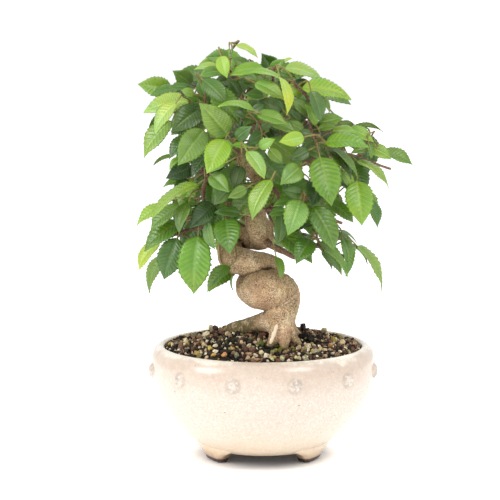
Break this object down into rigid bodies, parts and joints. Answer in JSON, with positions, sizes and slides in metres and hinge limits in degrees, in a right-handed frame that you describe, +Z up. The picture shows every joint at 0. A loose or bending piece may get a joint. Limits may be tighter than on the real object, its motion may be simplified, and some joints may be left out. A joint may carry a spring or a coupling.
{
  "type": "bonsai tree in pot",
  "caption": "Small hornbeam bonsai with a coiled trunk and a dense crown of pleated leaves, planted in grit in a round studded drum pot on short feet.",
  "frame": {"origin": "middle of the object's footprint box, on the surface its feet stand on", "axes": "+Z up along the pot's axis, -Y towards the viewing side, +X to the viewer's right"},
  "size_m": [0.1724, 0.1544, 0.2615],
  "materials": {
    "glaze": "glossy cream glaze, warmer at the shoulder and the feet",
    "grit": "mixed dark, tan and ochre grit",
    "netting": "matt dark plastic net",
    "clip_wire": "dull soft wire",
    "bark": "rough speckled bark",
    "branch_bark": "fine reddish brown bark",
    "leaf": "pleated satin leaf"
  },
  "bodies": {
    "root": {"pot": "glaze", "potting_grit": "grit", "drainage_net_left": "netting", "drainage_net_right": "netting", "net_clip_left": "clip_wire", "net_clip_right": "clip_wire", "trunk": "bark", "branch_right_low": "branch_bark", "branch_left_mid": "branch_bark", "branch_front_low": "branch_bark", "branch_right_mid": "branch_bark", "branch_right_high": "branch_bark", "branch_left_high": "branch_bark", "branch_left_upper": "branch_bark", "branch_left_low": "branch_bark", "branch_front_high": "branch_bark", "branch_back_left_low": "branch_bark", "branch_back_right_low": "branch_bark", "branch_back_mid": "branch_bark", "branch_back_left_high": "branch_bark", "branch_back_right_high": "branch_bark", "branch_back_top": "branch_bark", "shoot_back_high": "leaf", "shoot_back_left_high": "leaf", "shoot_back_left_low_1": "leaf", "shoot_back_left_low_2": "leaf", "shoot_back_left_mid": "leaf", "shoot_back_low": "leaf", "shoot_back_mid_1": "leaf", "shoot_back_mid_2": "leaf", "shoot_back_right_low": "leaf", "shoot_back_right_mid_1": "leaf", "shoot_back_right_mid_2": "leaf", "shoot_front_high_1": "leaf", "shoot_front_high_2": "leaf", "shoot_front_high_3": "leaf", "shoot_front_left_high_1": "leaf", "shoot_front_left_high_2": "leaf", "shoot_front_left_mid_1": "leaf", "shoot_front_left_mid_2": "leaf", "shoot_front_left_mid_3": "leaf", "shoot_front_left_mid_4": "leaf", "shoot_front_left_mid_5": "leaf", "shoot_front_low": "leaf", "shoot_front_mid": "leaf", "shoot_front_right_high": "leaf", "shoot_front_right_low": "leaf", "shoot_front_right_mid_1": "leaf", "shoot_front_right_mid_2": "leaf", "shoot_front_right_mid_3": "leaf", "shoot_front_right_mid_4": "leaf", "shoot_left_high_1": "leaf", "shoot_left_high_2": "leaf", "shoot_left_high_3": "leaf", "shoot_left_high_4": "leaf", "shoot_left_low_1": "leaf", "shoot_left_low_2": "leaf", "shoot_left_mid": "leaf", "shoot_middle_mid_1": "leaf", "shoot_middle_mid_2": "leaf"}
  },
  "joints": []
}
